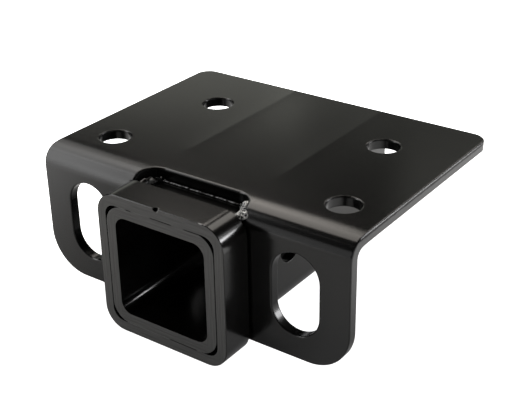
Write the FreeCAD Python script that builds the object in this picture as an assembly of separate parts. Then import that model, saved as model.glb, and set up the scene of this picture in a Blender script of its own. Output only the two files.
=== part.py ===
import FreeCAD, Part
import math
import os

os.makedirs("parts", exist_ok=True)
V = FreeCAD.Vector

# Bolt-on receiver hitch, millimetres, drawn with Z = 0 on the top (mounting) face of the
# plate, Y = 0 on the front face of the leg and X = 0 in the middle. The receiver opens
# towards -Y. The finished pieces are moved along Y, so that their origin is the middle of
# the bolt holes.

# plate, whose bend starts gently on the side of the top before it turns down
plate_width = 179.6
plate_depth = 132.5
plate_thickness = 5.0
leg_height = 67.8
bend_inner_radius = 4.5
bend_outer_radius = bend_inner_radius + plate_thickness
bend_lead_angle = 5.0
bend_lead_radius = 70.0
leg_corner_radius = 21.5
rear_corner_radius = 8.0
plate_edge_break = 0.45

# bolt holes in the top, the rear pair closer together than the front pair
bolt_hole_radius = 8.2
bolt_rim_break = 0.45
front_hole_spacing = 135.9
rear_hole_spacing = 102.7
front_hole_y = 29.4
rear_hole_y = 93.7
origin_y = (front_hole_y + rear_hole_y) / 2

# upright slots in the ears
ear_slot_width = 25.2
ear_slot_height = 42.1
ear_slot_x = 61.3
ear_slot_top = 13.3

# receiver tube
shank_size = 50.8
shank_clearance = 1.2
tube_inside = shank_size + shank_clearance
tube_wall = 5.2
tube_outside = tube_inside + 2 * tube_wall
tube_outer_radius = 9.6
tube_inner_radius = 6.2
tube_top_gap = 1.9
tube_rear_setback = 0.6
tube_front_y = -18.9
tube_rear_y = plate_depth - tube_rear_setback
tube_centre_z = -(plate_thickness + tube_top_gap + tube_outside / 2)

# hitch pin cross hole, for a 15.9 mm pin, behind the leg
pin_diameter = 15.9
pin_clearance = 0.5
pin_hole_radius = (pin_diameter + pin_clearance) / 2
pin_behind_leg = 36.0
pin_hole_y = plate_thickness + pin_behind_leg

# collar band, tight above and below the tube and loose at its sides
collar_side_gap = 0.5
collar_side_wall = 5.15
collar_inside_width = tube_outside + 2 * collar_side_gap
collar_inside_height = tube_outside
collar_outside = collar_inside_width + 2 * collar_side_wall
collar_outer_radius = 11.4
collar_inner_radius = 5.8
collar_rear_bevel = 1.4
collar_front_break = 0.3
nick_x = -0.7
nick_radius = 1.8
nick_depth = 1.7

# slot in the leg and top for the tube
notch_side_gap = 0.25
notch_width = tube_outside + 2 * notch_side_gap
notch_rear_y = 13.9
notch_corner_radius = 10.0
notch_edge_round = 1.1

# root weld in the gap below the rear edge of the notch
root_weld_radius = 1.5
root_weld_end_margin = 9.45
root_weld_length = notch_width - 2 * root_weld_end_margin
root_weld_inset = 0.6

# stitches along the top corners of the tube, against the underside of the top
stitch_radius = 5.0
stitch_front_margin = 10.1
stitch_rear_margin = 19.9
stitch_start_y = notch_rear_y + stitch_front_margin
stitch_end_y = tube_rear_y - stitch_rear_margin
stitch_drop = 3.5
stitch_inset = 3.7

# upright beads behind the ears, in the corner with the sides of the tube
back_bead_radius = 3.3
back_bead_shift = 0.4
back_bead_top_margin = 10.5
back_bead_foot_margin = 7.8
back_bead_top = bend_outer_radius + back_bead_top_margin
back_bead_foot = leg_height - back_bead_foot_margin

# shape of a bead's ends, and of the scales in a rippled one
bead_end_taper = 0.7
bead_end_size = 0.55
scale_taper = 0.8
scale_overlap = 1.5

# runs of weld between an ear and the top corner of the tube: distance in from the side of
# the tube, distance forward of the notch's rear edge, height above the tube top, radius
ear_root_run = [
    (7.6, 0.1, 0.5, 1.9),
    (4.4, 1.9, 0.0, 2.6),
    (2.2, 4.6, -0.4, 3.4),
    (1.8, 8.4, -0.9, 3.6),
    (1.6, 12.0, -1.8, 3.3),
]
right_cap_run = [
    (1.8, 3.9, 3.9, 2.4),
    (0.7, 6.3, 3.6, 2.7),
    (-0.6, 8.7, 3.0, 2.8),
    (-2.0, 10.5, 1.8, 2.7),
]
left_cap_run = [
    (3.4, 3.4, 1.2, 2.0),
    (2.4, 6.6, 1.0, 2.4),
    (1.8, 9.8, 0.2, 2.4),
]


def box(x0, x1, y0, y1, z0, z1):
    return Part.makeBox(x1 - x0, y1 - y0, z1 - z0, V(x0, y0, z0))


def square_prism(width, height, radius, y0, y1, z_centre):
    # a square bar along Y with rounded long edges
    body = box(-width / 2, width / 2, y0, y1, z_centre - height / 2, z_centre + height / 2)
    long_edges = [e for e in body.Edges if abs(e.tangentAt(e.FirstParameter).y) > 0.99]
    return body.makeFillet(radius, long_edges)


def bend_profile(radius, lead_radius):
    # points of one skin of the bend, from the top to the leg, about the bend's two centres
    lead = math.radians(bend_lead_angle)
    step = bend_lead_radius - bend_outer_radius
    yc = bend_outer_radius
    zc = -bend_lead_radius + step * math.cos(lead)
    y_lead = yc + step * math.sin(lead)

    def around(centre, r, angle):
        return V(0, centre.y - r * math.sin(angle), centre.z + r * math.cos(angle))

    lead_centre = V(0, y_lead, -bend_lead_radius)
    centre = V(0, yc, zc)
    return [
        around(lead_centre, lead_radius, 0),
        around(lead_centre, lead_radius, lead / 2),
        around(centre, radius, lead),
        around(centre, radius, (lead + math.pi / 2) / 2),
        around(centre, radius, math.pi / 2),
    ]


def skin_outline(radius, lead_radius, depth_in):
    # one skin of the sheet from its rear edge, over the bend and down the leg
    p = bend_profile(radius, lead_radius)
    return [
        Part.makeLine(V(0, plate_depth, -depth_in), p[0]),
        Part.Arc(p[0], p[1], p[2]).toShape(),
        Part.Arc(p[2], p[3], p[4]).toShape(),
        Part.makeLine(p[4], V(0, depth_in, -leg_height)),
    ]


def outer_outline():
    return skin_outline(bend_outer_radius, bend_lead_radius, 0.0)


def inner_outline():
    t = plate_thickness
    return skin_outline(bend_inner_radius, bend_lead_radius - t, t)


def run_across(shape):
    # a profile in the YZ plane, run over the full width
    shape = shape.extrude(V(plate_width, 0, 0))
    shape.translate(V(-plate_width / 2, 0, 0))
    return shape


def bent_sheet():
    t = plate_thickness
    ends = [
        Part.makeLine(V(0, plate_depth, 0), V(0, plate_depth, -t)),
        Part.makeLine(V(0, 0, -leg_height), V(0, t, -leg_height)),
    ]
    edges = Part.sortEdges(outer_outline() + inner_outline() + ends)[0]
    return run_across(Part.Face(Part.Wire(edges)))


def round_corners(sheet):
    # lower corners of the two ears, then the rear corners of the top
    def lower(e):
        a, b = e.Vertexes[0].Point, e.Vertexes[-1].Point
        return abs(a.z + leg_height) < 0.01 and abs(b.z + leg_height) < 0.01 and abs(a.x - b.x) < 0.01

    def rear(e):
        a, b = e.Vertexes[0].Point, e.Vertexes[-1].Point
        return abs(a.y - plate_depth) < 0.01 and abs(b.y - plate_depth) < 0.01 and abs(a.x - b.x) < 0.01

    sheet = sheet.makeFillet(leg_corner_radius, [e for e in sheet.Edges if lower(e)])
    return sheet.makeFillet(rear_corner_radius, [e for e in sheet.Edges if rear(e)])


def ear_slot(side):
    # round-ended slot through an ear
    r = ear_slot_width / 2
    x = side * ear_slot_x
    top = -ear_slot_top - r
    low = -ear_slot_top - ear_slot_height + r
    y0 = -1.0
    y1 = plate_thickness + 1.0
    cutter = box(x - r, x + r, y0, y1, low, top)
    for z in (top, low):
        cutter = cutter.fuse(Part.makeCylinder(r, y1 - y0, V(x, y0, z), V(0, 1, 0)))
    return cutter.removeSplitter()


def tube_notch():
    # open from below the leg, over the bend, to its rounded rear corners in the top
    w = notch_width / 2
    cutter = box(-w, w, -1.0, notch_rear_y, -leg_height - 1.0, 1.0)
    rear = [
        e for e in cutter.Edges
        if abs(e.tangentAt(e.FirstParameter).z) > 0.99 and e.Vertexes[0].Point.y > 1.0
    ]
    return cutter.makeFillet(notch_corner_radius, rear)


def bolt_hole_centres():
    return [
        V(side * spacing / 2, y, 0)
        for spacing, y in ((front_hole_spacing, front_hole_y), (rear_hole_spacing, rear_hole_y))
        for side in (-1, 1)
    ]


def middle(e):
    return e.valueAt((e.FirstParameter + e.LastParameter) / 2)


def on_outer_skin(e, skins):
    # on the top, the outside of the bend or the front of the leg, along the whole edge
    span = e.LastParameter - e.FirstParameter
    points = [e.valueAt(e.FirstParameter + span * k / 4) for k in range(5)]
    return all(min(skin.distToShape(Part.Vertex(p))[0] for skin in skins) < 0.01 for p in points)


def rim_of_ear_slot(p):
    across = abs(abs(p.x) - ear_slot_x) < ear_slot_width / 2 + 0.01
    up = -ear_slot_top - ear_slot_height - 0.01 < p.z < -ear_slot_top + 0.01
    return across and up and abs(p.y) < 0.01


def rim_of_sheet(p):
    # outer edges of the sheet, rounded corners included
    side = abs(abs(p.x) - plate_width / 2) < 0.01
    rear = p.y > plate_depth - rear_corner_radius
    foot = p.z < -leg_height + leg_corner_radius and abs(p.x) > notch_width / 2 + 0.01
    return side or rear or (foot and not rim_of_ear_slot(p))


def mount_plate():
    plate = round_corners(bent_sheet())
    for side in (-1, 1):
        plate = plate.cut(ear_slot(side))
    plate = plate.cut(tube_notch())
    depth = plate_thickness + 2.0
    for c in bolt_hole_centres():
        plate = plate.cut(Part.makeCylinder(bolt_hole_radius, depth, V(c.x, c.y, 1.0), V(0, 0, -1)))
    skins = [run_across(line) for line in outer_outline()]

    def hole_rim(e):
        curve = e.Curve
        return isinstance(curve, Part.Circle) and abs(curve.Radius - bolt_hole_radius) < 0.01 \
            and abs(curve.Center.z) < 0.01

    def notch_rim(e):
        m = middle(e)
        inside = abs(m.x) < notch_width / 2 + 0.01 and m.y < notch_rear_y + 0.01
        return inside and m.z > -bend_outer_radius / 2 and on_outer_skin(e, skins)

    def outline(e):
        m = middle(e)
        return (rim_of_sheet(m) or rim_of_ear_slot(m)) and on_outer_skin(e, skins)

    plate = plate.makeChamfer(bolt_rim_break, [e for e in plate.Edges if hole_rim(e)])
    plate = plate.makeChamfer(plate_edge_break, [e for e in plate.Edges if outline(e)])
    return plate.makeFillet(notch_edge_round, [e for e in plate.Edges if notch_rim(e)])


def tube_body(inside=True):
    body = square_prism(tube_outside, tube_outside, tube_outer_radius,
                        tube_front_y, tube_rear_y, tube_centre_z)
    if inside:
        bore = square_prism(tube_inside, tube_inside, tube_inner_radius,
                            tube_front_y - 1.0, tube_rear_y + 1.0, tube_centre_z)
        body = body.cut(bore)
    return body


def receiver_tube():
    pin = Part.makeCylinder(pin_hole_radius, tube_outside + 2.0,
                            V(-tube_outside / 2 - 1.0, pin_hole_y, tube_centre_z), V(1, 0, 0))
    return tube_body().cut(pin)


def receiver_collar():
    band = square_prism(collar_outside, collar_outside, collar_outer_radius,
                        tube_front_y, 0.0, tube_centre_z)

    def outer_rim(e, y):
        return abs(e.BoundBox.YMin - y) < 0.01 and abs(e.BoundBox.YMax - y) < 0.01

    band = band.makeChamfer(collar_rear_bevel, [e for e in band.Edges if outer_rim(e, 0.0)])
    band = band.makeChamfer(collar_front_break, [e for e in band.Edges if outer_rim(e, tube_front_y)])
    bore = square_prism(collar_inside_width, collar_inside_height, collar_inner_radius,
                        tube_front_y - 1.0, 1.0, tube_centre_z)
    band = band.cut(bore)
    # small conical nick into the top front edge, at 45 degrees
    top = tube_centre_z + collar_outside / 2
    nick = Part.makeCone(nick_radius, 0.0, nick_depth, V(nick_x, tube_front_y, top), V(0, 1, -1))
    return band.cut(nick)


def straight_bead(p0, p1, radius):
    # a run of weld that tapers at both ends
    along = p1 - p0
    taper = V(along).normalize() * radius * bead_end_taper
    body = Part.makeCylinder(radius, along.Length, p0, along)
    small = radius * bead_end_size
    ends = [
        Part.makeCone(radius, small, taper.Length, p0, taper * -1),
        Part.makeCone(radius, small, taper.Length, p1, taper),
    ]
    return body.multiFuse(ends)


def rippled_bead(stations):
    # scales of weld, each laid over the end of the one before
    scales = []
    for (p0, r0), (p1, _) in zip(stations, stations[1:]):
        step = p1 - p0
        scales.append(Part.makeCone(r0, r0 * scale_taper, step.Length * scale_overlap, p0, step))
    p, r = stations[-1]
    last = p - stations[-2][0]
    scales.append(Part.makeCone(r, r * scale_taper, r * scale_overlap / 2, p, last))
    return scales


def laid_on(bead, around):
    # a bead trimmed to the faces that it joins
    for other in around:
        bead = bead.cut(other)
    return sorted(bead.Solids, key=lambda solid: solid.Volume)[-1]


def root_weld(around):
    y = notch_rear_y + root_weld_inset
    z = -plate_thickness - tube_top_gap / 2
    half = root_weld_length / 2
    return laid_on(straight_bead(V(-half, y, z), V(half, y, z), root_weld_radius), around)


def ear_weld(side, cap_run, around):
    # rough bead in the top corner of the notch: a run in the root and one on top of it
    tube_top = -plate_thickness - tube_top_gap
    scales = []
    for run in (ear_root_run, cap_run):
        scales += rippled_bead([
            (V(side * (tube_outside / 2 - inset), notch_rear_y - ahead, tube_top + up), r)
            for inset, ahead, up, r in run
        ])
    return laid_on(scales[0].multiFuse(scales[1:]), around)


def stitch_weld(side, around):
    x = side * (tube_outside / 2 - stitch_inset)
    z = -plate_thickness - stitch_drop
    bead = straight_bead(V(x, stitch_start_y, z), V(x, stitch_end_y, z), stitch_radius)
    return laid_on(bead, around)


def back_weld(side, around):
    x = side * (tube_outside / 2 + back_bead_shift)
    y = plate_thickness + back_bead_shift
    bead = straight_bead(V(x, y, -back_bead_top), V(x, y, -back_bead_foot), back_bead_radius)
    return laid_on(bead, around)


def main():
    plate = mount_plate()
    collar = receiver_collar()
    bar = tube_body(inside=False)
    metal = [plate, bar, collar]
    nodes = {
        "mount_plate": plate,
        "receiver_tube": receiver_tube(),
        "receiver_collar": collar,
        "weld_root": root_weld(metal),
    }
    metal = metal + [nodes["weld_root"]]
    nodes["weld_ear_right"] = ear_weld(1, right_cap_run, metal)
    nodes["weld_ear_left"] = ear_weld(-1, left_cap_run, metal)
    for name, side in (("left", -1), ("right", 1)):
        nodes["weld_stitch_" + name] = stitch_weld(side, metal)
        nodes["weld_back_" + name] = back_weld(side, metal)
    for name, shape in nodes.items():
        shape.translate(V(0, -origin_y, 0))
        shape.exportStep("parts/" + name + ".step")
        print(name, shape.isValid(), len(shape.Solids), round(shape.Volume))


main()
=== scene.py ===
import bpy
import bmesh
import math
from mathutils import Matrix, Vector, noise


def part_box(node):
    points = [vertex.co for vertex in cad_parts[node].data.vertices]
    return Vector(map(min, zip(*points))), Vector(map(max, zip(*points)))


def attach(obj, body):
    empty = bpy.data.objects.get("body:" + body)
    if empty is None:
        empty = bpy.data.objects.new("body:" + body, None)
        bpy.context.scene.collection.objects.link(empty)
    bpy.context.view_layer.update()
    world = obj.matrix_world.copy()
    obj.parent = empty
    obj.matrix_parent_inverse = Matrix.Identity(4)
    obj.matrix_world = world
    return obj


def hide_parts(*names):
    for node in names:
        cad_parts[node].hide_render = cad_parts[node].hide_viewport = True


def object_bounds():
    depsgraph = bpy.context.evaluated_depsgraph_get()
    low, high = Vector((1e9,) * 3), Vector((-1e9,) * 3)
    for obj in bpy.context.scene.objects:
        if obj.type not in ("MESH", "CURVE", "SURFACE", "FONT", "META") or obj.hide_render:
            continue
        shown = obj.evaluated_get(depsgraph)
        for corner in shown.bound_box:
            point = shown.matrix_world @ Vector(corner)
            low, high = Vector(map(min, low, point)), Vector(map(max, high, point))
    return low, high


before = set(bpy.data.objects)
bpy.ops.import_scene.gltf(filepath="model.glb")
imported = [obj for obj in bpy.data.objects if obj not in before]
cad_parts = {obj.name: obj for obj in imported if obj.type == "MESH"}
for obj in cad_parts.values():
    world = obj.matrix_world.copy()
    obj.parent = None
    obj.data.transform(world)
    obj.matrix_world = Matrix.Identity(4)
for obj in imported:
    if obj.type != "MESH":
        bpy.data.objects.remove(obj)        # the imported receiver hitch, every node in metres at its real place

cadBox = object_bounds()
scene = bpy.context.scene
scene.view_settings.view_transform = "Standard"
mm = 0.001
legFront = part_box("mount_plate")[0].y      # front face of the two ears
tubeLow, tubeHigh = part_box("receiver_tube")
collarLow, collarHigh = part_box("receiver_collar")
tubeMid = (tubeLow.z + tubeHigh.z) / 2
tubeHalf = (tubeHigh.x - tubeLow.x) / 2
print("frame loaded")

# camera, solved from the straight edges of the plate, the collar and the bolt holes
cameraView = {
    "aim": (0.0045, -0.0114, -0.0293),
    "azimuth": 36.09,
    "elevation": 27.48,
    "roll": -1.08,
    "distance": 0.5488,
    "lens": 77.34,
    "sensor": 36.0,
    "clip": (0.01, 50.0),
}


def makeCamera(v):
    a = math.radians(v["azimuth"])
    e = math.radians(v["elevation"])
    back = Vector((math.sin(a) * math.cos(e), -math.cos(a) * math.cos(e), math.sin(e)))
    data = bpy.data.cameras.new("photoCamera")
    data.lens = v["lens"]
    data.sensor_width = v["sensor"]
    data.clip_start, data.clip_end = v["clip"]
    cam = bpy.data.objects.new("photoCamera", data)
    scene.collection.objects.link(cam)
    level = back.to_track_quat("Z", "Y").to_matrix().to_4x4()
    spin = Matrix.Rotation(math.radians(v["roll"]), 4, "Z")
    cam.matrix_world = Matrix.Translation(Vector(v["aim"]) + back * v["distance"]) @ level @ spin
    scene.camera = cam


makeCamera(cameraView)
print("camera set")


# small helpers for building shader trees
def link(tree, a, b):
    tree.links.new(a, b)


def mathNode(tree, kind, a, b=None, clamp=False):
    n = tree.nodes.new("ShaderNodeMath")
    n.operation = kind
    n.use_clamp = clamp
    for slot, value in enumerate((a, b)):
        if value is None:
            continue
        if isinstance(value, (int, float)):
            n.inputs[slot].default_value = value
        else:
            link(tree, value, n.inputs[slot])
    return n.outputs[0]


def times(tree, *values):
    result = values[0]
    for value in values[1:]:
        result = mathNode(tree, "MULTIPLY", result, value)
    return result


def plus(tree, *values):
    result = values[0]
    for value in values[1:]:
        result = mathNode(tree, "ADD", result, value)
    return result


def objectPoint(tree):
    return tree.nodes.new("ShaderNodeTexCoord").outputs["Object"]


def split(tree, vector):
    n = tree.nodes.new("ShaderNodeSeparateXYZ")
    link(tree, vector, n.inputs[0])
    return n.outputs["X"], n.outputs["Y"], n.outputs["Z"]


def noiseNode(tree, vector, scale, detail=2.0, rough=0.5):
    n = tree.nodes.new("ShaderNodeTexNoise")
    n.inputs["Scale"].default_value = scale
    n.inputs["Detail"].default_value = detail
    n.inputs["Roughness"].default_value = rough
    link(tree, vector, n.inputs["Vector"])
    return n.outputs["Fac"]


def stretched(tree, vector, factors):
    n = tree.nodes.new("ShaderNodeVectorMath")
    n.operation = "MULTIPLY"
    link(tree, vector, n.inputs[0])
    n.inputs[1].default_value = factors
    return n.outputs[0]


def ramp(tree, value, low, high, outLow=0.0, outHigh=1.0):
    n = tree.nodes.new("ShaderNodeMapRange")
    n.interpolation_type = "SMOOTHSTEP"
    link(tree, value, n.inputs["Value"])
    n.inputs["From Min"].default_value = low
    n.inputs["From Max"].default_value = high
    n.inputs["To Min"].default_value = outLow
    n.inputs["To Max"].default_value = outHigh
    return n.outputs["Result"]


def mixColour(tree, fac, a, b):
    n = tree.nodes.new("ShaderNodeMix")
    n.data_type = "RGBA"
    link(tree, fac, n.inputs["Factor"])
    for slot, value in (("A", a), ("B", b)):
        socket = [s for s in n.inputs if s.name == slot and s.type == "RGBA"][0]
        if isinstance(value, tuple):
            socket.default_value = (*value, 1.0)
        else:
            link(tree, value, socket)
    return [s for s in n.outputs if s.type == "RGBA"][0]


def newGroup(name, inputs, outputs):
    g = bpy.data.node_groups.new(name, "ShaderNodeTree")
    for label, value in inputs:
        s = g.interface.new_socket(label, in_out="INPUT", socket_type="NodeSocketFloat")
        s.default_value = value
    for label in outputs:
        g.interface.new_socket(label, in_out="OUTPUT", socket_type="NodeSocketFloat")
    return g, g.nodes.new("NodeGroupInput"), g.nodes.new("NodeGroupOutput")


def place(tree, group, values=None):
    n = tree.nodes.new("ShaderNodeGroup")
    n.node_tree = group
    for label, value in (values or {}).items():
        if isinstance(value, (int, float)):
            n.inputs[label].default_value = value
        else:
            link(tree, value, n.inputs[label])
    return n


# powder coat: orange peel, a finer pebble and slow changes of tone over the whole part
def makeCoatGrain():
    g, gin, out = newGroup(
        "coatGrain",
        [("Peel Scale", 420.0), ("Pebble Scale", 2600.0), ("Height", 0.000004)],
        ["Bump", "Mottle", "Streaks"])
    coord = objectPoint(g)
    layers = []
    for label, detail, share in (("Peel Scale", 2.0, 1.0), ("Pebble Scale", 1.0, 0.25)):
        n = g.nodes.new("ShaderNodeTexNoise")
        n.inputs["Detail"].default_value = detail
        link(g, coord, n.inputs["Vector"])
        link(g, gin.outputs[label], n.inputs["Scale"])
        layers.append(times(g, n.outputs["Fac"], share))
    link(g, times(g, plus(g, *layers), gin.outputs["Height"]), out.inputs["Bump"])
    link(g, noiseNode(g, coord, 38.0, 4.0, 0.6), out.inputs["Mottle"])
    drawn = stretched(g, coord, (30.0, 900.0, 900.0))
    link(g, noiseNode(g, drawn, 1.0, 3.0, 0.6), out.inputs["Streaks"])
    return g


# thin lighter line along a sharp edge: partly where the coat is pulled away from it, partly a painted highlight
# where its rounding catches the light
def makeEdgeWearAndHighlight():
    g, gin, out = newGroup("edgeWearAndHighlight", [("Width", 0.0003), ("Amount", 1.0)], ["Mask"])
    bevel = g.nodes.new("ShaderNodeBevel")
    bevel.samples = 6
    link(g, gin.outputs["Width"], bevel.inputs["Radius"])
    face = g.nodes.new("ShaderNodeNewGeometry")
    dot = g.nodes.new("ShaderNodeVectorMath")
    dot.operation = "DOT_PRODUCT"
    link(g, bevel.outputs["Normal"], dot.inputs[0])
    link(g, face.outputs["Normal"], dot.inputs[1])
    mask = ramp(g, mathNode(g, "SUBTRACT", 1.0, dot.outputs["Value"]), 0.02, 0.16)
    broken = ramp(g, noiseNode(g, objectPoint(g), 260.0, 3.0), 0.38, 0.66, 0.15, 1.0)
    total = mathNode(g, "MULTIPLY", times(g, mask, broken), gin.outputs["Amount"], clamp=True)
    link(g, total, out.inputs["Mask"])
    return g


# pinheads of coat and fine dust
def makeSpecks():
    g, gin, out = newGroup("coatSpecks", [("Scale", 420.0), ("Amount", 0.5)], ["Mask"])
    coord = objectPoint(g)
    cells = g.nodes.new("ShaderNodeTexVoronoi")
    link(g, coord, cells.inputs["Vector"])
    link(g, gin.outputs["Scale"], cells.inputs["Scale"])
    dots = ramp(g, cells.outputs["Distance"], 0.05, 0.13, 1.0, 0.0)
    few = ramp(g, noiseNode(g, coord, 110.0, 2.0), 0.58, 0.68)
    total = mathNode(g, "MULTIPLY", times(g, dots, few), gin.outputs["Amount"], clamp=True)
    link(g, total, out.inputs["Mask"])
    return g


coatGrain = makeCoatGrain()
edgeWearAndHighlight = makeEdgeWearAndHighlight()
coatSpecks = makeSpecks()
print("shader groups built")

plainSpecular = 0.5      # what the shader has by itself

coatValues = {
    "black": (0.0019, 0.0018, 0.0017),
    "wornAndHighlight": (0.07, 0.069, 0.067),
    "speck": (0.035, 0.034, 0.033),
    "roughness": 0.18,
    "height": 0.000006,
}


def newMaterial(name):
    mat = bpy.data.materials.new(name)
    mat.use_nodes = True
    return mat, mat.node_tree, mat.node_tree.nodes["Principled BSDF"]


def coatBase(tree, black=coatValues["black"], roughness=coatValues["roughness"],
             wearAndHighlight=1.0, specks=0.5, height=coatValues["height"]):
    # the coat that every surface shares: gives back the colour, roughness and height to build on
    grain = place(tree, coatGrain, {"Height": height})
    wearAndHighlightNode = place(tree, edgeWearAndHighlight, {"Amount": wearAndHighlight})
    speckNode = place(tree, coatSpecks, {"Amount": specks})
    tone = ramp(tree, grain.outputs["Mottle"], 0.3, 0.7)
    dark = tuple(c * 0.8 for c in black)
    light = tuple(c * 1.25 for c in black)
    colour = mixColour(tree, tone, dark, light)
    colour = mixColour(tree, speckNode.outputs["Mask"], colour, coatValues["speck"])
    # lighter edges: coat wear, and a painted highlight along each rounded edge
    colour = mixColour(tree, wearAndHighlightNode.outputs["Mask"], colour, coatValues["wornAndHighlight"])
    rough = plus(tree, roughness - 0.02, times(tree, grain.outputs["Streaks"], 0.04))
    return colour, rough, grain.outputs["Bump"]


def finishShader(tree, shader, colour, rough, height, rounding=0.3 * mm):
    link(tree, colour, shader.inputs["Base Color"])
    link(tree, rough, shader.inputs["Roughness"])
    edge = tree.nodes.new("ShaderNodeBevel")
    edge.samples = 6
    edge.inputs["Radius"].default_value = rounding
    bump = tree.nodes.new("ShaderNodeBump")
    link(tree, edge.outputs["Normal"], bump.inputs["Normal"])
    bump.inputs["Distance"].default_value = 1.0
    link(tree, height, bump.inputs["Height"])
    link(tree, bump.outputs["Normal"], shader.inputs["Normal"])


def dulled(tree, gloss, mask, least):
    # the lower of a gloss and the one that falls to least under the mask
    under = plus(tree, plainSpecular, times(tree, mask, least - plainSpecular))
    return mathNode(tree, "MINIMUM", gloss, under)


# plate: bent from sheet, with cut edges that show the marks of cutting under the coat, and
# two low ridges where the welds along the tube have pulled on the top. A ridge is its place
# across, its slope and its reach, bendPull a slope and where it begins and is full, the notch
# its half width, its depth and the least gloss of its painted shade, and the shear band its two ends and its
# sway
plateValues = {
    "ridges": ((-26.5 * mm, 0.028, 7 * mm), (28.0 * mm, 0.024, 8 * mm)),
    "ridgeRound": 0.8 * mm,
    "ridgeFade": (12 * mm, 45 * mm),
    "bendEnd": 14.8 * mm,
    "bendPull": (0.04, 12.5 * mm, 18 * mm),
    "bendFade": (11 * mm, 14 * mm),
    "bendFoot": (-12 * mm, -8 * mm),
    "bendLeft": (-40 * mm, -20 * mm),
    "legTop": -10.5 * mm,
    "sheetHalf": 2.5 * mm,
    "cutColour": (0.004, 0.004, 0.0039),
    "cutRoughness": 0.2,
    "bendRoughness": 0.08,
    "cutSpecular": 0.3,
    "notch": (34 * mm, 14.2 * mm, 0.08),
    "rounding": 1.0 * mm,
    "shear": (-0.5 * mm, -1.6 * mm, 0.9 * mm),
    "shearScale": 350.0,
    "shearSpecular": 0.05,
    "cutLines": 900.0,
    "cutDepth": 0.00003,
}


def plateMaterial(v):
    mat, tree, shader = newMaterial("plateCoat")
    colour, rough, height = coatBase(tree, wearAndHighlight=0.6)
    coord = objectPoint(tree)
    x, y, z = split(tree, coord)
    nx, ny, nz = split(tree, tree.nodes.new("ShaderNodeTexCoord").outputs["Normal"])
    nx, ny, nz = (mathNode(tree, "ABSOLUTE", n) for n in (nx, ny, nz))
    # cut faces: those that face sideways, or that cross the top or the ears
    onTop = mathNode(tree, "GREATER_THAN", z, -2 * v["sheetHalf"] - 0.5 * mm)
    behindBend = mathNode(tree, "GREATER_THAN", y, legFront + v["bendEnd"])
    topCut = times(tree, mathNode(tree, "LESS_THAN", nz, 0.5), onTop, behindBend)
    onLeg = mathNode(tree, "LESS_THAN", z, v["legTop"])
    legCut = times(tree, mathNode(tree, "LESS_THAN", ny, 0.5), onLeg)
    sideCut = mathNode(tree, "GREATER_THAN", nx, 0.5)
    cut = mathNode(tree, "MAXIMUM", sideCut, mathNode(tree, "MAXIMUM", topCut, legCut))
    colour = mixColour(tree, cut, colour, v["cutColour"])
    rough = plus(tree, rough, times(tree, cut, v["cutRoughness"] - coatValues["roughness"]))
    lines = noiseNode(tree, stretched(tree, coord, (1.0, 1.0, 0.25)), v["cutLines"], 3.0, 0.65)
    height = plus(tree, height, times(tree, lines, cut, v["cutDepth"]))
    # the left part of the bend is less glossy
    bendStart, bendStop = (legFront + at for at in v["bendFade"])
    bend = times(tree, ramp(tree, y, bendStart, bendStop, 1.0, 0.0), ramp(tree, z, *v["bendFoot"]))
    rough = plus(tree, rough, times(tree, bend, ramp(tree, x, *v["bendLeft"], v["bendRoughness"], 0.0)))
    # the two ridges, only on the upper skin of the top
    upper = mathNode(tree, "GREATER_THAN", z, -v["sheetHalf"])
    fadeStart, fadeStop = (legFront + at for at in v["ridgeFade"])
    fade = times(tree, ramp(tree, y, fadeStart, fadeStop), upper)
    for at, slope, reach in v["ridges"]:
        off = mathNode(tree, "SUBTRACT", x, at)
        away = mathNode(tree, "SQRT", plus(tree, times(tree, off, off), v["ridgeRound"] ** 2))
        fall = mathNode(tree, "EXPONENT", times(tree, away, -1 / reach))
        height = plus(tree, height, times(tree, fall, slope * reach, fade))
    # the top starts to fall a little before the bend
    pull, near, far = v["bendPull"]
    front = mathNode(tree, "MAXIMUM", mathNode(tree, "SUBTRACT", legFront + far, y), 0.0)
    easing = mathNode(tree, "MINIMUM", front, far - near)
    eased = times(tree, easing, easing, 0.5 / (far - near))
    drop = plus(tree, eased, mathNode(tree, "SUBTRACT", front, easing))
    height = plus(tree, height, times(tree, drop, -pull, upper))
    # little coat gets into the walls of the holes and slots, and the notch's walls are dulled almost to black as
    # painted shade
    ax = mathNode(tree, "ABSOLUTE", x)
    width, depth, least = v["notch"]
    notchShade = times(tree, mathNode(tree, "LESS_THAN", ax, width),
                 mathNode(tree, "LESS_THAN", y, legFront + depth),
                 mathNode(tree, "LESS_THAN", nz, 0.6))
    gloss = dulled(tree, plainSpecular, cut, v["cutSpecular"])
    gloss = dulled(tree, gloss, notchShade, least)
    # the cutting has left a dark band in the upper part of the outer edges
    high, low, sway = v["shear"]
    swayed = plus(tree, z, times(tree, noiseNode(tree, coord, v["shearScale"], 3.0), sway))
    band = times(tree, sideCut, mathNode(tree, "GREATER_THAN", ax, cadBox[1].x - 2 * mm), onTop,
                 ramp(tree, swayed, low, low + 0.5 * mm), ramp(tree, z, high - 0.4 * mm, high, 1.0, 0.0))
    colour = mixColour(tree, band, colour, coatValues["black"])
    link(tree, dulled(tree, gloss, band, v["shearSpecular"]), shader.inputs["Specular IOR Level"])
    finishShader(tree, shader, colour, rough, height, v["rounding"])
    return mat
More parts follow.
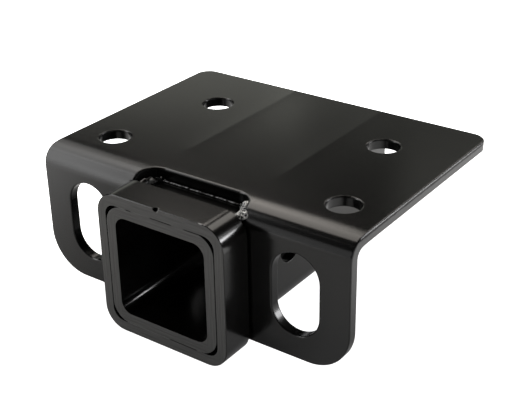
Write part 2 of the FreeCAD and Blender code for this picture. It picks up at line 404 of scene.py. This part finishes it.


# tube and collar: sawn front faces with the saw's lines round the frame, lighter than the coat partly as
# painted light from the pale floor they face, and the hairline between the two where they meet above and
# below. Places across the front are in mm: a burr is its middle, half its length and the strength of its
# painted glint, the nick is its middle and the ends of its painted shade and of its painted highlight ring,
# and a hairline is where it starts and ends
receiverValues = {
    "coatRoughness": 0.18,
    "coatHeight": 0.000011,
    "frontDark": (0.044, 0.0434, 0.0425),
    "frontLight": (0.066, 0.0652, 0.064),
    "frontRoughness": 0.26,
    "lineScale": 2600.0,
    "lineDepth": 0.000008,
    "hairWidth": 0.3 * mm,
    "frontSlab": 0.2 * mm,
    "burrs": (((25.0, -0.6), 4.0, 1.0), ((16.0, 0.0), 2.0, 0.7)),
    "burrReach": (1.1 * mm, 1.2 * mm),
    "burrGlintColour": (0.4, 0.395, 0.385),
    "rimBack": (1.1 * mm, 0.5 * mm),
    "rimTop": (1.0 * mm, 0.4 * mm),
    "rimHighlightColour": (0.045, 0.0445, 0.0435),
    "nick": (-1.0, 1.2, 1.8, 2.4),
    "nickHighlightColour": (0.13, 0.128, 0.124),
    "hairAbove": ((-19.8, -15.0), (-5.3, 8.8), (14.2, 27.0)),
    "hairBelow": ((2.4, 20.2), (-27.0, -22.5)),
}


def receiverMaterial(name, v):
    mat, tree, shader = newMaterial(name)
    colour, rough, height = coatBase(tree, roughness=v["coatRoughness"], wearAndHighlight=0.25, height=v["coatHeight"])
    x, y, z = split(tree, objectPoint(tree))
    ny = split(tree, tree.nodes.new("ShaderNodeTexCoord").outputs["Normal"])[1]
    slabBack = collarLow.y + v["frontSlab"]
    front = times(tree, mathNode(tree, "LESS_THAN", ny, -0.8), mathNode(tree, "LESS_THAN", y, slabBack))
    ax = mathNode(tree, "ABSOLUTE", x)
    az = mathNode(tree, "ABSOLUTE", mathNode(tree, "SUBTRACT", z, tubeMid))
    # out is how far a point lies from the middle of the frame, along is the way round it
    out = mathNode(tree, "MAXIMUM", ax, az)
    along = mathNode(tree, "SUBTRACT", ax, az)
    frameWay = tree.nodes.new("ShaderNodeCombineXYZ")
    link(tree, out, frameWay.inputs["X"])
    link(tree, times(tree, along, 0.02), frameWay.inputs["Y"])
    saw = noiseNode(tree, frameWay.outputs[0], v["lineScale"], 2.0, 0.6)
    height = plus(tree, height, times(tree, saw, front, v["lineDepth"]))
    # the saw's lines, on faces coloured lighter than the coat: partly the sawn finish, partly painted light from
    # the pale floor in front
    sawnAndLitFront = mixColour(tree, ramp(tree, saw, 0.3, 0.72), v["frontDark"], v["frontLight"])
    colour = mixColour(tree, front, colour, sawnAndLitFront)
    rough = plus(tree, rough, times(tree, front, v["frontRoughness"] - v["coatRoughness"]))
    # lighter spots along the upper front edge where the saw has left a burr: painted glints on the burrs
    burrHeight, burrBack = v["burrReach"]
    rim = ramp(tree, y, slabBack, collarLow.y + burrBack, 1.0, 0.0)
    ragged = ramp(tree, noiseNode(tree, objectPoint(tree), 900.0, 3.0), 0.36, 0.52)
    for (sx, sz), size, strength in v["burrs"]:
        dx = times(tree, mathNode(tree, "SUBTRACT", x, sx * mm), 1 / (size * mm))
        dz = times(tree, mathNode(tree, "SUBTRACT", z, sz * mm), 1 / burrHeight)
        away = plus(tree, times(tree, dx, dx), times(tree, dz, dz))
        burrGlint = times(tree, ramp(tree, away, 0.2, 1.0, strength, 0.0), rim, ragged)
        colour = mixColour(tree, burrGlint, colour, v["burrGlintColour"])
    # a painted highlight along the collar's upper edge at the back
    backRimHighlight = times(tree, ramp(tree, y, *(collarHigh.y - at for at in v["rimBack"])),
                    ramp(tree, z, *(collarHigh.z - at for at in v["rimTop"])))
    colour = mixColour(tree, backRimHighlight, colour, v["rimHighlightColour"])
    # the nick: painted shade inside it, with a painted highlight ring on its right
    middle, inner, outer, ringEnd = v["nick"]
    reach = tree.nodes.new("ShaderNodeVectorMath")
    reach.operation = "DISTANCE"
    link(tree, objectPoint(tree), reach.inputs[0])
    reach.inputs[1].default_value = (middle * mm, collarLow.y, collarHigh.z)
    away = reach.outputs["Value"]
    nickShade = ramp(tree, away, inner * mm, outer * mm, 1.0, 0.0)
    nickHighlight = times(tree, ramp(tree, away, inner * mm, outer * mm),
                 ramp(tree, away, outer * mm, ringEnd * mm, 1.0, 0.0),
                 ramp(tree, x, (middle + 0.2) * mm, (middle + 1.2) * mm))
    colour = mixColour(tree, nickHighlight, colour, v["nickHighlightColour"])
    # hairlines above and below, in the stretches that the coat has not closed
    off = mathNode(tree, "ABSOLUTE", mathNode(tree, "SUBTRACT", az, tubeHalf))
    hair = times(tree, ramp(tree, off, 0.3 * v["hairWidth"], v["hairWidth"], 1.0, 0.0), front)
    above = mathNode(tree, "GREATER_THAN", z, tubeMid)
    below = mathNode(tree, "SUBTRACT", 1.0, above)
    stretches = 0.0
    for side, ranges in ((above, v["hairAbove"]), (below, v["hairBelow"])):
        for start, end in ranges:
            opening = ramp(tree, x, start * mm, (start + 1.5) * mm)
            closing = ramp(tree, x, (end - 1.5) * mm, end * mm, 1.0, 0.0)
            stretches = mathNode(tree, "MAXIMUM", stretches, times(tree, opening, closing, side))
    # the hairlines, and the nick's painted shade, are black and lose their gloss
    seamAndNickShade = mathNode(tree, "MAXIMUM", times(tree, hair, stretches), nickShade)
    colour = mixColour(tree, seamAndNickShade, colour, (0.0, 0.0, 0.0))
    gloss = mathNode(tree, "SUBTRACT", plainSpecular, times(tree, seamAndNickShade, plainSpecular))
    link(tree, gloss, shader.inputs["Specular IOR Level"])
    finishShader(tree, shader, colour, rough, height)
    return mat


weldValues = {
    "colour": (0.006, 0.006, 0.0058),
    "roughness": 0.2,
    "bright": (0.72, 0.715, 0.7),
    "brightRoughness": 0.42,
    "brightScale": 1500.0,
    "rounding": 0.1 * mm,
}


def weldMaterial(v):
    mat, tree, shader = newMaterial("weldCoat")
    colour, rough, height = coatBase(tree, v["colour"], v["roughness"], wearAndHighlight=0.3, specks=0.8)
    # the crests of a bead are rubbed bright, as far as each bead's own share says
    shine = tree.nodes.new("ShaderNodeAttribute")
    shine.attribute_name = "shine"
    fine = ramp(tree, noiseNode(tree, objectPoint(tree), v["brightScale"], 2.0), 0.3, 0.7, 0.55, 1.0)
    mask = mathNode(tree, "MULTIPLY", shine.outputs["Fac"], fine, clamp=True)
    colour = mixColour(tree, mask, colour, v["bright"])
    link(tree, mask, shader.inputs["Metallic"])
    rough = plus(tree, rough, times(tree, mask, v["brightRoughness"] - v["roughness"]))
    finishShader(tree, shader, colour, rough, height, v["rounding"])
    return mat


finishes = {
    "mount_plate": plateMaterial(plateValues),
    "receiver_tube": receiverMaterial("tubeCoat", receiverValues),
    "receiver_collar": receiverMaterial("collarCoat", receiverValues),
}
weldFinish = weldMaterial(weldValues)
for name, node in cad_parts.items():
    node.data.materials.clear()
    node.data.materials.append(finishes.get(name, weldFinish))
print("finishes set")

# welds: each bead is grown from its node, melted together and roughened. All lengths are in mm:
# grain is the size of its facets and melt how often they are smoothed. shine is the share of
# bright crests with the heights where they start and are full, ripple is its axis, pitch and
# depth, lace its cell and depth, and a drop has its place from the middle of the leg's front, its
# radius and its gleam
stitchBead = {"grain": 0.5, "melt": 2, "lump": 0.3, "lumpSize": 4.0, "rough": 0.12, "roughSize": 1.2,
              "ripple": ("y", 1.7, 0.3)}
backBead = {"grain": 0.4, "melt": 2, "lump": 0.25, "lumpSize": 3.0, "rough": 0.12, "roughSize": 1.0,
            "ripple": ("z", 1.5, 0.25)}
weldPieces = {
    "weld_ear_right": {"grain": 0.18, "melt": 5, "lump": 0.35, "lumpSize": 2.2,
                       "rough": 0.08, "roughSize": 0.6, "lace": (1.4, 0.7), "shine": (0.95, -0.3, 0.1)},
    "weld_ear_left": {"grain": 0.28, "melt": 10, "lump": 0.1, "lumpSize": 2.4,
                      "rough": 0.02, "roughSize": 0.9,
                      "drops": [(-26.2, 8.8, -5.3, 1.1, 0.25), (-22.5, 11.2, -3.6, 0.7, 0.4),
                                (-28.6, 14.2, -7.0, 2.0, 0.0)]},
    "weld_root": {"grain": 0.22, "melt": 5, "lump": 0.2, "lumpSize": 4.0,
                  "rough": 0.13, "roughSize": 1.5, "squash": 0.45},
    "weld_stitch_left": stitchBead,
    "weld_stitch_right": stitchBead,
    "weld_back_left": backBead,
    "weld_back_right": backBead,
}
dull = (0.0, 0.0, 1.0)
rippleSlant = (0.35, 0.3)      # how far a ripple is carried along by the way its side faces
rippleFoot = 0.6               # where a ripple neither adds nor takes
laceStrand = (0.3, 0.45)       # height of a strand over the cells, and its width
gleamReach = (1.6, 3)          # how far a drop's gleam goes, and how sharply it ends


def remeshed(mesh, grain):
    # one closed skin of even facets round everything in the mesh
    helper = bpy.data.objects.new("helper", mesh)
    scene.collection.objects.link(helper)
    skin = helper.modifiers.new("skin", "REMESH")
    skin.mode = "VOXEL"
    skin.voxel_size = grain
    view = bpy.context.evaluated_depsgraph_get()
    view.update()
    result = bpy.data.meshes.new_from_object(helper.evaluated_get(view))
    bpy.data.objects.remove(helper)
    return result


def weldPiece(nodeName, v):
    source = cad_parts[nodeName]
    drops = [(Vector((x, y + legFront / mm, z)), r, gleam) for x, y, z, r, gleam in v.get("drops", [])]
    bm = bmesh.new()
    bm.from_mesh(source.data)
    for middle, r, gleam in drops:
        burrGlint = Matrix.Translation(middle * mm)
        bmesh.ops.create_icosphere(bm, subdivisions=2, radius=r * mm, matrix=burrGlint)
    rawMesh = bpy.data.meshes.new("weldRaw")
    bm.to_mesh(rawMesh)
    bm.free()
    mesh = remeshed(rawMesh, v["grain"] * mm)
    bm = bmesh.new()
    bm.from_mesh(mesh)
    shine = bm.verts.layers.float.new("shine")
    for vert in bm.verts:
        if vert.co.z > tubeHigh.z:
            vert.co.z = tubeHigh.z + (vert.co.z - tubeHigh.z) * v.get("squash", 1.0)
    for _ in range(v["melt"]):
        bmesh.ops.smooth_vert(bm, verts=bm.verts, factor=0.5,
                              use_axis_x=True, use_axis_y=True, use_axis_z=True)
    bm.normal_update()
    moves = []
    for vert in bm.verts:
        p = vert.co / mm
        push = v["lump"] * noise.noise(p / v["lumpSize"])
        push += v["rough"] * noise.noise(p / v["roughSize"] + Vector((7, 3, 5)))
        if "ripple" in v:
            axis, pitch, depth = v["ripple"]
            facing = abs(vert.normal.x + vert.normal.y * rippleSlant[1])
            way = p["xyz".index(axis)] + rippleSlant[0] * facing * pitch
            push += depth * (abs(math.sin(math.pi * way / pitch)) - rippleFoot)
        if "lace" in v:
            cell, depth = v["lace"]
            gap = noise.voronoi(p / cell)[0]
            push += depth * (laceStrand[0] - min((gap[1] - gap[0]) / laceStrand[1], 1))
        moves.append(vert.normal * push * mm)
        share, low, high = v.get("shine", dull)
        vert[shine] = share * min(max((push - low) / (high - low), 0), 1)
        for middle, r, gleam in drops:
            near = 1 - (p - middle).length / (gleamReach[0] * r)
            vert[shine] = max(vert[shine], gleam * min(max(near * gleamReach[1], 0), 1))
    for vert, move in zip(bm.verts, moves):
        vert.co += move
    for face in bm.faces:
        face.smooth = True
    bm.to_mesh(mesh)
    bm.free()
    piece = bpy.data.objects.new(nodeName + "_bead", mesh)
    scene.collection.objects.link(piece)
    mesh.materials.clear()
    mesh.materials.append(weldFinish)
    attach(piece, "root")
    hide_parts(nodeName)
    print(nodeName, len(mesh.polygons), "facets")


for nodeName, values in weldPieces.items():
    weldPiece(nodeName, values)
print("welds shaped")

# floor: pale studio table, near white to the camera, with two pools of light beside the part,
# each given as its direction from the leg, where it starts, where it is full, and its strength
floorValues = {
    "size": 6.0,
    "colour": (0.8, 0.8, 0.79, 1.0),
    "roughness": 0.8,
    "drop": 0.2 * mm,
    "glow": 0.08,
    "seenGlow": 1.0,
    "pools": [((-1.0, 0.4, 0.0), 0.08, 0.2, 1.1), ((0.9, 0.4, 0.0), 0.1, 0.17, 0.8)],
}


def makeFloor(v):
    z = cadBox[0].z - v["drop"]
    h = v["size"] / 2
    mesh = bpy.data.meshes.new("studioFloor")
    mesh.from_pydata([(-h, -h, z), (h, -h, z), (h, h, z), (-h, h, z)], [], [(0, 1, 2, 3)])
    floor = bpy.data.objects.new("studioFloor", mesh)
    scene.collection.objects.link(floor)
    mat, tree, shader = newMaterial("paleFloor")
    shader.inputs["Base Color"].default_value = v["colour"]
    shader.inputs["Roughness"].default_value = v["roughness"]
    shader.inputs["Emission Color"].default_value = (1.0, 1.0, 1.0, 1.0)
    ray = tree.nodes.new("ShaderNodeLightPath").outputs["Is Camera Ray"]
    glow = plus(tree, times(tree, ray, v["seenGlow"]), v["glow"])
    for way, start, end, strength in v["pools"]:
        reach = tree.nodes.new("ShaderNodeVectorMath")
        reach.operation = "DOT_PRODUCT"
        link(tree, objectPoint(tree), reach.inputs[0])
        reach.inputs[1].default_value = way
        shift = way[1] * legFront
        pool = ramp(tree, reach.outputs["Value"], start + shift, end + shift, 0.0, strength)
        glow = plus(tree, glow, pool)
    link(tree, glow, shader.inputs["Emission Strength"])
    floor.data.materials.append(mat)


makeFloor(floorValues)

# soft boxes, each a piece of a large sphere round the part: tilt runs from the floor behind
# (0) over the top (90) to the floor in front (180), swing is the angle towards the left
lightValues = {
    "distance": 1.5,
    "boxes": [
        ("overhead", (45.5, 92), (20, 37), 2.9, (1.0, 0.94, 0.87)),
        ("overheadEdge", (41, 45.5), (23, 37), 2.9, (1.0, 0.94, 0.87)),
        ("leftOver", (47, 107), (36, 54), 1.75, (1.0, 0.99, 0.97)),
        ("leftFront", (105.5, 182.5), (36, 54), 3.1, (1.0, 1.0, 1.0)),
        ("leftCore", (70, 168), (41, 56), 0.9, (1.0, 1.0, 1.0)),
        ("frontLow", (147, 182.5), (8, 36), 0.6, (1.0, 1.0, 1.0)),
        ("backMid", (26, 64), (-9, 14), 2.5, (1.0, 0.95, 0.88)),
        ("backRight", (26, 60), (-58, -36), 1.8, (1.0, 1.0, 1.0)),
        ("rightCore", (-1, 27), (-60, -34), 18.0, (0.98, 0.98, 1.0)),
        ("behindLeft", (1, 29), (30.5, 52), 0.55, (0.99, 1.0, 0.9)),
        ("behindRight", (1, 26.3), (10, 30.5), 0.15, (0.99, 1.0, 0.9)),
        ("behindFar", (15, 26), (24.5, 33), 0.14, (0.99, 1.0, 0.9)),
        ("behindEdge", (26.5, 33), (12, 22), 0.32, (0.99, 1.0, 0.9)),
        ("fillRight", (20, 160), (-84, -66), 1.5, (1.0, 1.0, 1.0)),
    ],
}


def makeLights(v):
    for name, (tilt0, tilt1), (swing0, swing1), radiance, colour in v["boxes"]:
        tilt = math.radians((tilt0 + tilt1) / 2)
        swing = math.radians((swing0 + swing1) / 2)
        way = Vector((-math.sin(swing),
                      math.cos(swing) * math.cos(tilt),
                      math.cos(swing) * math.sin(tilt)))
        up = Vector((0, -math.sin(tilt), math.cos(tilt)))
        data = bpy.data.lights.new(name, "AREA")
        data.shape = "RECTANGLE"
        data.size = 2 * v["distance"] * math.cos(swing) * math.tan(math.radians((tilt1 - tilt0) / 2))
        data.size_y = 2 * v["distance"] * math.tan(math.radians((swing1 - swing0) / 2))
        data.energy = radiance * math.pi * data.size * data.size_y
        data.color = colour
        lamp = bpy.data.objects.new(name, data)
        scene.collection.objects.link(lamp)
        lamp.location = way * v["distance"]
        lamp.rotation_mode = "QUATERNION"
        lamp.rotation_quaternion = Matrix((up, way.cross(up), way)).transposed().to_quaternion()
        lamp.visible_camera = False


makeLights(lightValues)

# air: nearly dark to the part, white to the camera
airValues = {"colour": (1.0, 1.0, 0.97, 1.0), "glow": 0.012, "seenGlow": 1.0}


def makeAir(v):
    world = bpy.data.worlds.new("studioAir")
    scene.world = world
    world.use_nodes = True
    tree = world.node_tree
    sky = tree.nodes["Background"]
    sky.inputs["Color"].default_value = v["colour"]
    ray = tree.nodes.new("ShaderNodeLightPath").outputs["Is Camera Ray"]
    link(tree, plus(tree, times(tree, ray, v["seenGlow"]), v["glow"]), sky.inputs["Strength"])


makeAir(airValues)
print("studio lit")
